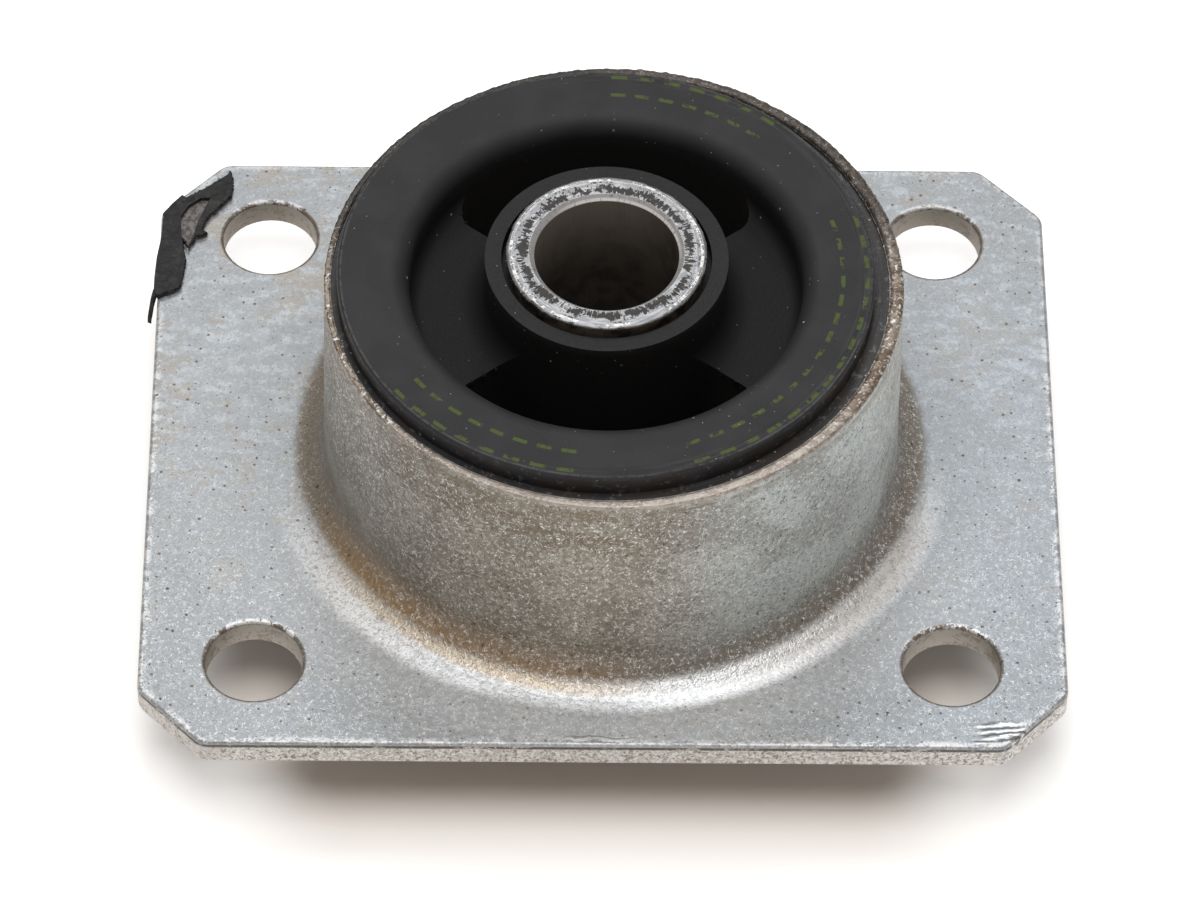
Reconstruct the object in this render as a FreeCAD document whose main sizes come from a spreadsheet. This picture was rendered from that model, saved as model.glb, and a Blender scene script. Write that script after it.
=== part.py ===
import FreeCAD, Part
import math
import os
import Sketcher
from FreeCAD import Vector

# Engine mount: a pressed steel flange with a drawn collar, a rubber body moulded into the collar
# and bonded to a steel sleeve, and a scrap of moulding flash stuck to one corner of the flange.
# Origin: centre of the four bolt holes, on the flange's underside. +Z runs up along the sleeve,
# +X along the flange's longer side. Lengths in millimetres, angles in degrees.

doc = FreeCAD.newDocument("EngineMount")

# Driving sizes
SIZES = [
    # Flange plate
    ("sheet_thickness", 3.2),
    ("bolt_spacing_x", 78.6),
    ("bolt_spacing_y", 63.2),
    ("bolt_hole_diameter", 11.0),
    ("bolt_edge_x", 13.0),
    ("bolt_edge_y", 11.55),
    ("corner_cut_x", 7.3),
    ("corner_cut_y", 7.5),
    ("corner_cut_blend", 2.5),
    ("top_edge_round", 0.4),
    ("bolt_hole_round", 0.4),
    # Drawn collar: the die forms its outside, the punch its inside, and their centres differ
    ("collar_rise", 28.9),
    ("collar_rim_radius", 32.55),
    ("collar_foot_radius", 33.0),
    ("collar_rim_wall", 1.15),
    ("collar_foot_wall", 2.2),
    ("collar_foot_curve", 4.0),
    ("collar_throat_curve", 6.0),
    ("die_offset", 0.9),
    ("punch_offset", 0.45),
    # Inner sleeve
    ("bolt_bore_diameter", 16.2),
    ("sleeve_wall", 2.9),
    ("sleeve_above_rim", 5.3),
    ("sleeve_below_flange", 8.0),
    ("sleeve_end_round", 0.3),
    ("sleeve_bore_chamfer", 0.6),
    # Rubber body
    ("band_drop", 0.3),
    ("face_step", 1.2),
    ("face_rise", 2.2),
    ("face_edge_round", 0.35),
    ("lip_round", 2.3),
    ("base_recess", 1.0),
    ("hub_wall", 2.65),
    ("hub_setback", 1.0),
    ("hub_root_round", 3.0),
    ("ring_root_round", 1.6),
    ("hub_groove_width", 0.8),
    ("hub_groove_depth", 1.6),
    ("void_width", 8.45),
    ("void_corner_round", 2.8),
    ("spoke_angle", 74.0),
    ("spoke_drop", 6.1),
    # Corner flash
    ("flash_thickness", 0.8),
    ("flash_film_thickness", 0.2),
]

# Sizes that follow from the driving ones
DERIVED = [
    ("plate_length", "bolt_spacing_x + 2 * bolt_edge_x"),
    ("plate_width", "bolt_spacing_y + 2 * bolt_edge_y"),
    ("bolt_hole_radius", "bolt_hole_diameter / 2"),
    ("rim_level", "sheet_thickness + collar_rise"),
    ("punch_rim_radius", "collar_rim_radius - collar_rim_wall"),
    ("punch_foot_radius", "collar_foot_radius - collar_foot_wall"),
    ("band_level", "rim_level - band_drop"),
    ("punch_taper", "(punch_rim_radius - punch_foot_radius) / (rim_level - collar_throat_curve)"),
    ("band_radius", "punch_rim_radius - punch_taper * band_drop"),
    ("face_level", "rim_level + face_rise"),
    ("face_radius", "punch_rim_radius - face_step"),
    ("bore_radius", "bolt_bore_diameter / 2"),
    ("sleeve_radius", "bore_radius + sleeve_wall"),
    ("sleeve_top", "rim_level + sleeve_above_rim"),
    ("hub_radius", "sleeve_radius + hub_wall"),
    ("hub_top", "sleeve_top - hub_setback"),
    ("hub_bottom", "hub_setback - sleeve_below_flange"),
    ("groove_radius", "sleeve_radius + hub_groove_width"),
    ("void_radius", "hub_radius + void_width"),
    ("spoke_top", "face_level - spoke_drop"),
    ("spoke_bottom", "base_recess + spoke_drop"),
]

# Distance within which an edge counts as lying at a level or having a radius
TOLERANCE = 1e-4

sheet = doc.addObject("Spreadsheet::Sheet", "Sizes")
CELLS = [(name, str(value)) for name, value in SIZES]
CELLS += [(name, "=" + formula) for name, formula in DERIVED]
for row, (name, content) in enumerate(CELLS, start=1):
    sheet.set(f"A{row}", name)
    sheet.set(f"B{row}", content)
    sheet.setAlias(f"B{row}", name)
doc.recompute()


def size(name):
    """Present value of a named cell, used only to draw sketch points near their places."""
    return float(getattr(sheet, name))


def origin_feature(body, role):
    """Plane or axis of a body's own origin, found by its role."""
    return next(item for item in body.Origin.OriginFeatures if item.Role == role)


def new_body(label):
    """Body for one piece; its label names the piece."""
    body = doc.addObject("PartDesign::Body", label.title().replace("_", ""))
    body.Label = label
    return body


def feature(body, kind, name, **settings):
    """PartDesign feature with its plain properties; values that are text are bound as expressions."""
    item = body.newObject("PartDesign::" + kind, name)
    for key, value in settings.items():
        if isinstance(value, str) and key != "Type":
            item.setExpression(key, value)
        else:
            setattr(item, key, value)
    return item


class Outline:
    """One sketch on a plane of its body's origin, drawn edge by edge and closed at the end."""

    def __init__(self, body, name, plane, **offsets):
        self.sketch = body.newObject("Sketcher::SketchObject", name)
        self.sketch.AttachmentSupport = [(origin_feature(body, plane), "")]
        self.sketch.MapMode = "FlatFace"
        for axis, expression in offsets.items():
            self.sketch.setExpression(f"AttachmentOffset.Base.{axis}", expression)
        self.ends = []

    def line(self, start, end, forward=True):
        """Straight edge, walked backwards if not forward; returns its number."""
        edge = self.sketch.addGeometry(Part.LineSegment(Vector(*start), Vector(*end)), False)
        self.ends.append((edge, 1, 2) if forward else (edge, 2, 1))
        return edge

    def arc(self, centre, radius, first, last, forward=True):
        """Arc counter-clockwise from first to last degrees, walked backwards if not forward."""
        circle = Part.Circle(Vector(*centre), Vector(0, 0, 1), radius)
        edge = self.sketch.addGeometry(
            Part.ArcOfCircle(circle, math.radians(first), math.radians(last)), False)
        self.ends.append((edge, 1, 2) if forward else (edge, 2, 1))
        return edge

    def circle(self, radius, centre=(0, 0)):
        """Full circle, its radius bound to a named cell; about the sketch's origin if not told otherwise."""
        edge = self.sketch.addGeometry(Part.Circle(Vector(*centre), Vector(0, 0, 1), size(radius)), False)
        if centre == (0, 0):
            self.hold("Coincident", edge, 3, -1, 1)
        self.drive("Radius", f"Sizes.{radius}", edge)
        return edge

    def join(self, smooth=()):
        """Close the outline: each edge meets the next, tangent after the edges named in smooth."""
        for place, (edge, _, last) in enumerate(self.ends):
            following, first, _ = self.ends[(place + 1) % len(self.ends)]
            kind = "Tangent" if edge in smooth else "Coincident"
            self.hold(kind, edge, last, following, first)

    def hold(self, kind, *where):
        """Geometric constraint."""
        return self.sketch.addConstraint(Sketcher.Constraint(kind, *where))

    def drive(self, kind, expression, *where):
        """Dimension bound to the sheet."""
        number = self.sketch.addConstraint(Sketcher.Constraint(kind, *where, self.measure(kind, where)))
        self.sketch.setExpression(f"Constraints[{number}]", expression)
        return number

    def measure(self, kind, where):
        """Length or angle as drawn, which the bound value then replaces."""
        drawn = self.sketch.Geometry[where[0]] if where[0] >= 0 else None
        if kind == "Radius":
            return drawn.Radius
        if kind == "Angle":
            along = drawn.EndPoint - drawn.StartPoint
            return math.atan2(along.y, along.x)
        first, second = (self.sketch.getPoint(*where[at:at + 2]) for at in (0, 2))
        return second.x - first.x if kind == "DistanceX" else second.y - first.y

    def from_axis(self, expression, edge, point):
        """Distance of a point from the sketch's vertical axis, to the right."""
        return self.drive("DistanceX", expression, -1, 1, edge, point)

    def above(self, expression, edge, point):
        """Height of a point above the sketch's horizontal axis."""
        return self.drive("DistanceY", expression, -1, 1, edge, point)


def round_edges(body, name, radius, test, kind="Fillet"):
    """Fillet or chamfer on those edges of the body's present tip that pass a test."""
    doc.recompute()
    rough = body.Tip
    picked = [f"Edge{number}" for number, edge in enumerate(rough.Shape.Edges, start=1) if test(edge)]
    if not picked:
        raise RuntimeError(f"{name}: no edge found")
    width = {"Fillet": "Radius", "Chamfer": "Size"}[kind]
    return feature(body, kind, name, Base=(rough, picked), **{width: radius})


def lies_at(edge, level):
    """True for an edge that lies flat at one height."""
    box = edge.BoundBox
    return abs(box.ZMin - level) < TOLERANCE and abs(box.ZMax - level) < TOLERANCE


def has_radius(edge, radius):
    """True for a round edge of one radius."""
    return isinstance(edge.Curve, Part.Circle) and abs(edge.Curve.Radius - radius) < TOLERANCE


def turn(body, kind, name, outline):
    """Full revolution or groove about the sketch's own vertical axis."""
    return feature(body, kind, name, Profile=outline.sketch, ReferenceAxis=(outline.sketch, ["V_Axis"]),
                   Angle=360.0)


def polar(distance, angle):
    """Point at a distance from the axis and an angle in degrees from +X."""
    return (distance * math.cos(math.radians(angle)), distance * math.sin(math.radians(angle)))


def plate(flange):
    """Flat plate with its four cut corners; shearing rolls its upper edge and leaves the lower one sharp."""
    half_x = size("plate_length") / 2
    half_y = size("plate_width") / 2
    flat_x = half_x - size("corner_cut_x")
    flat_y = half_y - size("corner_cut_y")

    outline = Outline(flange, "PlateOutline", "XY_Plane")
    right = outline.line((half_x, -flat_y), (half_x, flat_y))
    outline.line((half_x, flat_y), (flat_x, half_y))
    back = outline.line((flat_x, half_y), (-flat_x, half_y))
    outline.line((-flat_x, half_y), (-half_x, flat_y))
    left = outline.line((-half_x, flat_y), (-half_x, -flat_y))
    outline.line((-half_x, -flat_y), (-flat_x, -half_y))
    front = outline.line((-flat_x, -half_y), (flat_x, -half_y))
    outline.line((flat_x, -half_y), (half_x, -flat_y))
    outline.join()
    for side in (right, left):
        outline.hold("Symmetric", side, 1, side, 2, -1)
    for side in (back, front):
        outline.hold("Symmetric", side, 1, side, 2, -2)
    outline.from_axis("Sizes.plate_length / 2", right, 2)
    outline.drive("DistanceX", "Sizes.plate_length / 2", left, 1, -1, 1)
    outline.above("Sizes.plate_width / 2", back, 1)
    outline.drive("DistanceY", "Sizes.plate_width / 2", front, 1, -1, 1)
    for side, end in ((right, 2), (left, 1)):
        outline.above("Sizes.plate_width / 2 - Sizes.corner_cut_y", side, end)
    for side, end in ((back, 1), (front, 2)):
        outline.from_axis("Sizes.plate_length / 2 - Sizes.corner_cut_x", side, end)
    feature(flange, "Pad", "Plate", Profile=outline.sketch, Length="Sizes.sheet_thickness")

    round_edges(flange, "CornerCutBlend", "Sizes.corner_cut_blend",
                lambda edge: edge.BoundBox.ZLength > size("sheet_thickness") / 2)
    round_edges(flange, "TopEdgeRound", "Sizes.top_edge_round",
                lambda edge: lies_at(edge, size("sheet_thickness")))


def collar_outside(flange):
    """Outside of the drawn collar, as the die forms it, with the curve at its foot."""
    rim = size("rim_level")
    foot = size("collar_foot_radius")
    curve = size("collar_foot_curve")
    sheet_top = size("sheet_thickness")

    die = Outline(flange, "DieProfile", "XZ_Plane", x="Sizes.die_offset")
    axis = die.line((0, 0), (0, rim))
    top = die.line((0, rim), (size("collar_rim_radius"), rim))
    wall = die.line((size("collar_rim_radius"), rim), (foot, sheet_top + curve))
    flare = die.arc((foot + curve, sheet_top + curve), curve, 180, 270)
    skirt = die.line((foot + curve, sheet_top), (foot + curve, 0))
    base = die.line((foot + curve, 0), (0, 0))
    die.join(smooth=(wall,))
    die.hold("Coincident", axis, 1, -1, 1)
    for upright in (axis, skirt):
        die.hold("Vertical", upright)
    for level in (top, base):
        die.hold("Horizontal", level)
    die.hold("Vertical", flare, 3, flare, 2)
    die.above("Sizes.rim_level", axis, 2)
    die.from_axis("Sizes.collar_rim_radius", top, 2)
    die.from_axis("Sizes.collar_foot_radius", flare, 1)
    die.drive("Radius", "Sizes.collar_foot_curve", flare)
    die.above("Sizes.sheet_thickness", flare, 2)
    turn(flange, "Revolution", "CollarOutside", die)


def collar_inside(flange):
    """Inside of the drawn collar, as the punch forms it, with the curve at its throat."""
    rim = size("rim_level")
    foot = size("punch_foot_radius")
    curve = size("collar_throat_curve")

    punch = Outline(flange, "PunchProfile", "XZ_Plane", x="Sizes.punch_offset")
    axis = punch.line((0, 0), (0, rim))
    top = punch.line((0, rim), (size("punch_rim_radius"), rim))
    punch.line((size("punch_rim_radius"), rim), (foot, curve))
    throat = punch.arc((foot + curve, curve), curve, 180, 270)
    base = punch.line((foot + curve, 0), (0, 0))
    punch.join()
    punch.hold("Coincident", axis, 1, -1, 1)
    punch.hold("Vertical", axis)
    for level in (top, base):
        punch.hold("Horizontal", level)
    punch.hold("Horizontal", throat, 3, throat, 1)
    punch.hold("Vertical", throat, 3, throat, 2)
    punch.above("Sizes.rim_level", axis, 2)
    punch.from_axis("Sizes.punch_rim_radius", top, 2)
    punch.from_axis("Sizes.punch_foot_radius", throat, 1)
    punch.drive("Radius", "Sizes.collar_throat_curve", throat)
    turn(flange, "Groove", "CollarInside", punch)


def bolt_holes(flange):
    """One bolt hole through the plate, mirrored to all four corners, with its mouth rounded."""
    outline = Outline(flange, "BoltHole", "XY_Plane")
    ring = outline.circle("bolt_hole_radius", (size("bolt_spacing_x") / 2, size("bolt_spacing_y") / 2))
    outline.from_axis("Sizes.bolt_spacing_x / 2", ring, 3)
    outline.above("Sizes.bolt_spacing_y / 2", ring, 3)
    drilled = feature(flange, "Pocket", "BoltHoleCut", Profile=outline.sketch, Type="ThroughAll",
                      Midplane=True)
    pattern = feature(flange, "MultiTransform", "BoltHolePattern", Originals=[drilled])
    mirrors = []
    for role in ("YZ_Plane", "XZ_Plane"):
        mirror = doc.addObject("PartDesign::Mirrored", f"Across{role[:2]}")
        mirror.MirrorPlane = (origin_feature(flange, role), [""])
        flange.addObject(mirror)
        mirrors.append(mirror)
    pattern.Transformations = mirrors
    flange.Tip = pattern
    round_edges(flange, "BoltHoleRound", "Sizes.bolt_hole_round",
                lambda edge: has_radius(edge, size("bolt_hole_radius"))
                and lies_at(edge, size("sheet_thickness")))


def sleeve_tube(sleeve):
    """Thick steel tube with rounded ends and a chamfer at each mouth of its bore."""
    section = Outline(sleeve, "SleeveSection", "XY_Plane", z="-Sizes.sleeve_below_flange")
    section.circle("sleeve_radius")
    section.circle("bore_radius")
    feature(sleeve, "Pad", "SleeveTube", Profile=section.sketch,
            Length="Sizes.sleeve_top + Sizes.sleeve_below_flange")
    round_edges(sleeve, "SleeveEndRound", "Sizes.sleeve_end_round",
                lambda edge: has_radius(edge, size("sleeve_radius")))
    round_edges(sleeve, "SleeveBoreChamfer", "Sizes.sleeve_bore_chamfer",
                lambda edge: has_radius(edge, size("bore_radius")), kind="Chamfer")


def collar_plug(rubber):
    """Rubber that fills the collar, bonded to its inside down to the middle of the throat curve."""
    band = size("band_level")
    recess = size("base_recess")
    foot = size("punch_foot_radius")
    curve = size("collar_throat_curve")
    throat_end = 180 + math.degrees(math.asin(1 - recess / curve))
    base_radius = foot + curve + curve * math.cos(math.radians(throat_end))

    outline = Outline(rubber, "PlugProfile", "XZ_Plane", x="Sizes.punch_offset")
    axis = outline.line((0, recess), (0, band))
    top = outline.line((0, band), (size("band_radius"), band))
    outline.line((size("band_radius"), band), (foot, curve))
    throat = outline.arc((foot + curve, curve), curve, 180, throat_end)
    base = outline.line((base_radius, recess), (0, recess))
    outline.join()
    outline.hold("PointOnObject", axis, 1, -2)
    outline.hold("Vertical", axis)
    for level in (top, base):
        outline.hold("Horizontal", level)
    outline.hold("Horizontal", throat, 3, throat, 1)
    outline.above("Sizes.base_recess", axis, 1)
    outline.above("Sizes.band_level", axis, 2)
    outline.from_axis("Sizes.band_radius", top, 2)
    outline.from_axis("Sizes.punch_foot_radius", throat, 1)
    outline.above("Sizes.collar_throat_curve", throat, 1)
    outline.drive("Radius", "Sizes.collar_throat_curve", throat)
    turn(rubber, "Revolution", "Plug", outline)


def raised_face(rubber):
    """Round face that stands above the rim, one step inside it."""
    outline = Outline(rubber, "FaceCircle", "XY_Plane", z="Sizes.spoke_top")
    outline.circle("face_radius")
    feature(rubber, "Pad", "RaisedFace", Profile=outline.sketch, Length="Sizes.face_level - Sizes.spoke_top")
    round_edges(rubber, "FaceEdgeRound", "Sizes.face_edge_round",
                lambda edge: has_radius(edge, size("face_radius")) and lies_at(edge, size("face_level")))


def trough(rubber, name, mouth_size, floor_size, side):
    """Ring-shaped trough between hub and outer ring, with a level floor and a rolled lip.

    side is 1 for the upper trough, which opens upwards, and -1 for the lower one, its mirror image.
    """
    upper = side > 0
    near = size("hub_radius")
    far = size("void_radius")
    root = size("hub_root_round")
    toe = size("ring_root_round")
    lip = size("lip_round")
    mouth = size(mouth_size)
    floor = size(floor_size)
    outline = Outline(rubber, name + "Profile", "XZ_Plane")
    hub_side = outline.line((near, mouth), (near, floor + side * root))
    hub_root = outline.arc((near + root, floor + side * root), root, *((180, 270) if upper else (90, 180)),
                           forward=upper)
    level = outline.line((near + root, floor), (far - toe, floor))
    ring_root = outline.arc((far - toe, floor + side * toe), toe, *((270, 360) if upper else (0, 90)),
                            forward=upper)
    ring_side = outline.line((far, floor + side * toe), (far, mouth - side * lip))
    rolled = outline.arc((far + lip, mouth - side * lip), lip, *((90, 180) if upper else (180, 270)),
                         forward=not upper)
    mouth_side = outline.line((far + lip, mouth), (near, mouth))
    outline.join(smooth=(hub_side, hub_root, level, ring_root, ring_side))
    for upright in (hub_side, ring_side):
        outline.hold("Vertical", upright)
    for flat in (level, mouth_side):
        outline.hold("Horizontal", flat)
    outline.hold("Vertical", rolled, 3, mouth_side, 1)
    outline.from_axis("Sizes.hub_radius", hub_side, 1)
    outline.from_axis("Sizes.void_radius", ring_side, 2)
    outline.above(f"Sizes.{mouth_size}", hub_side, 1)
    outline.above(f"Sizes.{floor_size}", level, 1)
    outline.drive("Radius", "Sizes.hub_root_round", hub_root)
    outline.drive("Radius", "Sizes.ring_root_round", ring_root)
    outline.drive("Radius", "Sizes.lip_round", rolled)
    turn(rubber, "Groove", name, outline)


def hub(rubber):
    """Hub of rubber round the sleeve."""
    outline = Outline(rubber, "HubCircle", "XY_Plane", z="Sizes.hub_bottom")
    outline.circle("hub_radius")
    feature(rubber, "Pad", "Hub", Profile=outline.sketch, Length="Sizes.hub_top - Sizes.hub_bottom")


def voids(rubber):
    """Two kidney-shaped voids that go right through and leave a spoke on each side of the hub."""
    near = size("hub_radius")
    far = size("void_radius")
    corner = size("void_corner_round")
    side = size("spoke_angle") / 2
    near_lean = math.degrees(math.asin(corner / (near + corner)))
    far_lean = math.degrees(math.asin(corner / (far - corner)))
    near_foot = math.sqrt((near + corner) ** 2 - corner ** 2)
    far_foot = math.sqrt((far - corner) ** 2 - corner ** 2)

    outline = Outline(rubber, "VoidOutline", "XY_Plane")
    far_wall = outline.arc((0, 0), far, side + far_lean, 180 - side - far_lean)
    corners = [outline.arc(polar(far - corner, 180 - side - far_lean), corner,
                           180 - side - far_lean, 270 - side)]
    left_side = outline.line(polar(near_foot, 180 - side), polar(far_foot, 180 - side), forward=False)
    corners.append(outline.arc(polar(near + corner, 180 - side - near_lean), corner,
                               270 - side, 360 - side - near_lean))
    near_wall = outline.arc((0, 0), near, side + near_lean, 180 - side - near_lean, forward=False)
    corners.append(outline.arc(polar(near + corner, side + near_lean), corner,
                               180 + side + near_lean, 270 + side))
    right_side = outline.line(polar(near_foot, side), polar(far_foot, side))
    corners.append(outline.arc(polar(far - corner, side + far_lean), corner, side - 90, side + far_lean))
    outline.join(smooth=[edge for edge, _, _ in outline.ends])
    for wall in (far_wall, near_wall):
        outline.hold("Coincident", wall, 3, -1, 1)
    for straight in (left_side, right_side):
        outline.hold("PointOnObject", -1, 1, straight)
    for follower in corners[1:]:
        outline.hold("Equal", corners[0], follower)
    outline.drive("Radius", "Sizes.void_radius", far_wall)
    outline.drive("Radius", "Sizes.hub_radius", near_wall)
    outline.drive("Radius", "Sizes.void_corner_round", corners[0])
    outline.drive("Angle", "Sizes.spoke_angle / 2", right_side)
    outline.drive("Angle", "180 - Sizes.spoke_angle / 2", left_side)
    back_void = feature(rubber, "Pocket", "BackVoid", Profile=outline.sketch, Type="ThroughAll",
                        Midplane=True)
    rubber.Tip = feature(rubber, "Mirrored", "BothVoids", Originals=[back_void],
                         MirrorPlane=(origin_feature(rubber, "XZ_Plane"), [""]))


def sleeve_seat(rubber):
    """Bore bonded to the sleeve, and the narrow groove round the sleeve's top."""
    seat = Outline(rubber, "SleeveSeat", "XY_Plane", z="Sizes.hub_bottom")
    seat.circle("sleeve_radius")
    feature(rubber, "Pocket", "SleeveBore", Profile=seat.sketch, Type="ThroughAll", Midplane=True)
    groove = Outline(rubber, "HubGroove", "XY_Plane", z="Sizes.hub_top")
    groove.circle("groove_radius")
    feature(rubber, "Pocket", "HubGrooveCut", Profile=groove.sketch, Length="Sizes.hub_groove_depth")


# Corner flash: a torn flake that lies along the left edge and the corner cut, measured from the
# lower end of the corner cut, with a thin film between its two branches
FLAKE = [(0.1, -13.8), (-0.4, -13.2), (-0.4, -11.0), (-0.25, -8.0), (0.2, -4.5), (0.3, -1.0), (1.3, 0.55),
         (2.4, 1.9), (2.85, 1.5), (3.6, 1.95), (5.1, 3.0), (7.7, 5.2), (7.95, 5.8), (8.2, 5.0), (8.4, 3.4),
         (8.1, 1.9), (6.8, 0.1), (5.4, -1.6), (4.85, -3.6), (5.6, -3.95), (4.25, -4.4), (3.4, -6.3),
         (4.05, -4.1), (4.4, -2.3), (5.4, 0.5), (5.75, 1.45), (4.65, 1.45), (3.2, 0.2), (2.35, -1.5),
         (2.55, -4.5), (3.1, -8.4), (2.75, -11.7), (2.5, -12.6), (1.2, -13.2)]
FILM = [(2.0, -1.5), (3.2, 0.6), (4.65, 1.8), (5.95, 1.6), (5.6, 0.4), (4.6, -2.3), (4.2, -4.1), (3.3, -5.6),
        (2.4, -4.5)]


def torn_scrap(flash, name, points, thickness):
    """Flat scrap of torn rubber on the plate: a chain of short straight edges, held where it was torn."""
    outline = Outline(flash, name + "Outline", "XY_Plane", x="-Sizes.plate_length / 2",
                      y="Sizes.plate_width / 2 - Sizes.corner_cut_y", z="Sizes.sheet_thickness")
    for start, end in zip(points, points[1:] + points[:1]):
        outline.line(start, end)
    outline.join()
    for edge, _, _ in outline.ends:
        outline.hold("Block", edge)
    feature(flash, "Pad", name, Profile=outline.sketch, Length=thickness)


# The four pieces
mounting_flange = new_body("mounting_flange")
plate(mounting_flange)
collar_outside(mounting_flange)
collar_inside(mounting_flange)
bolt_holes(mounting_flange)

inner_sleeve = new_body("inner_sleeve")
sleeve_tube(inner_sleeve)

rubber_body = new_body("rubber_body")
collar_plug(rubber_body)
raised_face(rubber_body)
trough(rubber_body, "UpperTrough", "face_level", "spoke_top", 1)
trough(rubber_body, "LowerTrough", "base_recess", "spoke_bottom", -1)
hub(rubber_body)
voids(rubber_body)
sleeve_seat(rubber_body)

corner_flash = new_body("corner_flash")
torn_scrap(corner_flash, "Flake", FLAKE, "Sizes.flash_thickness")
torn_scrap(corner_flash, "Film", FILM, "Sizes.flash_film_thickness")

# Check every object, then write one file for each piece
doc.recompute()
PIECES = [mounting_flange, rubber_body, inner_sleeve, corner_flash]
for item in doc.Objects:
    if "Invalid" in item.State or "Error" in item.State:
        raise RuntimeError(f"{item.Name} is {item.State}")
for piece in PIECES:
    shape = piece.Shape
    if shape.isNull() or not shape.isValid() or len(shape.Solids) != 1:
        raise RuntimeError(f"{piece.Label} is not one valid solid")

os.makedirs("parts", exist_ok=True)
for piece in PIECES:
    piece.Shape.exportStep(f"parts/{piece.Label}.step")
    print(f"{piece.Label}: {piece.Shape.Volume / 1000:.2f} cm3")
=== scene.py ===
"""Looks of the engine mount: finishes of its four solids, small burrs and scraps, studio and camera."""

import logging
import math
from dataclasses import dataclass
from enum import Enum
from functools import reduce

import bmesh
import bpy
from mathutils import Matrix, Vector, noise


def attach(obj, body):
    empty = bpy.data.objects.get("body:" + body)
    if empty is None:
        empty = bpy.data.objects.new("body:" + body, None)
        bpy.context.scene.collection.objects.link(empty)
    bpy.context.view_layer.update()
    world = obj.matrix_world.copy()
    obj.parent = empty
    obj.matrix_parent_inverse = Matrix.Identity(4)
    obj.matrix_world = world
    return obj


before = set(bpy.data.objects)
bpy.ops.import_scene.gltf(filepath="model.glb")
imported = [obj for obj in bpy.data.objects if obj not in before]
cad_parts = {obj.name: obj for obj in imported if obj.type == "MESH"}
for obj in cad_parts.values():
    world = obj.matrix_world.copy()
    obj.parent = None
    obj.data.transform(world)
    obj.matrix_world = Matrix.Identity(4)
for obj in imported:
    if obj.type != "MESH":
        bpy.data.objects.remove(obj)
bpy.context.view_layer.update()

LOG = logging.getLogger("engine_mount")
MM = 0.001
SPIN_RADIUS = 10.0
NOISE_ROUGHNESS = 0.55
SPECK_SKEW = 4.0
BLACK = (0.0, 0.0, 0.0)
WHITE = (1.0, 1.0, 1.0)
Colour = Point = tuple[float, float, float]
Pair = tuple[float, float]
Socket = bpy.types.NodeSocket


class Slot(Enum):
    """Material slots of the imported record."""

    ZINC = "zinc_plated_sheet"
    RUBBER = "moulded_rubber"
    SLEEVE = "sleeve_steel"
    FLASH = "flash_rubber"


@dataclass(frozen=True)
class Specks:
    """Scattered round specks: spacing and radii in millimetres, and the share of places taken."""

    spacing: float
    small: float
    large: float
    share: float


class Value:
    """Number on a shader socket; each operator adds its Math node."""

    def __init__(self, shader: "Shader", socket: Socket) -> None:
        """Wrap one output socket of a shader's tree."""
        self.shader = shader
        self.socket = socket

    def maths(self, operation: str, *others: "Value | float") -> "Value":
        """Apply a Math node to this value.

        Args:
            operation: Math node operation.
            others: second and third operand, where the operation has them.

        Returns:
            The node's result.
        """
        return self.shader.maths(operation, self, *others)

    def __add__(self, other: "Value | float") -> "Value":
        """Sum."""
        return self.maths("ADD", other)

    __radd__ = __add__

    def __sub__(self, other: "Value | float") -> "Value":
        """Difference."""
        return self.maths("SUBTRACT", other)

    def __rsub__(self, other: float) -> "Value":
        """Difference with a plain number on the left."""
        return self.shader.maths("SUBTRACT", other, self)

    def __mul__(self, other: "Value | float") -> "Value":
        """Product."""
        return self.maths("MULTIPLY", other)

    __rmul__ = __mul__

    def __truediv__(self, other: "Value | float") -> "Value":
        """Quotient."""
        return self.maths("DIVIDE", other)

    def __abs__(self) -> "Value":
        """Absolute value."""
        return self.maths("ABSOLUTE")

    def at_most(self, other: "Value | float") -> "Value":
        """Lower of two values."""
        return self.maths("MINIMUM", other)

    def at_least(self, other: "Value | float") -> "Value":
        """Higher of two values."""
        return self.maths("MAXIMUM", other)

    def rise(self, low: float, high: float) -> "Value":
        """Smooth step.

        Args:
            low: value at which the result is 0.
            high: value at which the result is 1; below low for a falling step.

        Returns:
            Result from 0 to 1.
        """
        start, end = min(low, high), max(low, high)
        node = self.shader.node("ShaderNodeMapRange", {"interpolation_type": "SMOOTHSTEP", "clamp": True},
                                {0: self, 1: start, 2: end, 3: float(low > high), 4: float(low < high)})
        return Value(self.shader, node.outputs[0])

    def band(self, low: float, high: float, soft: float) -> "Value":
        """Window between two values with soft sides.

        Args:
            low: lower side.
            high: higher side.
            soft: width of each soft side.

        Returns:
            1 inside the window and 0 outside.
        """
        return self.rise(low - soft / 2, low + soft / 2) * self.rise(high + soft / 2, high - soft / 2)


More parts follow.
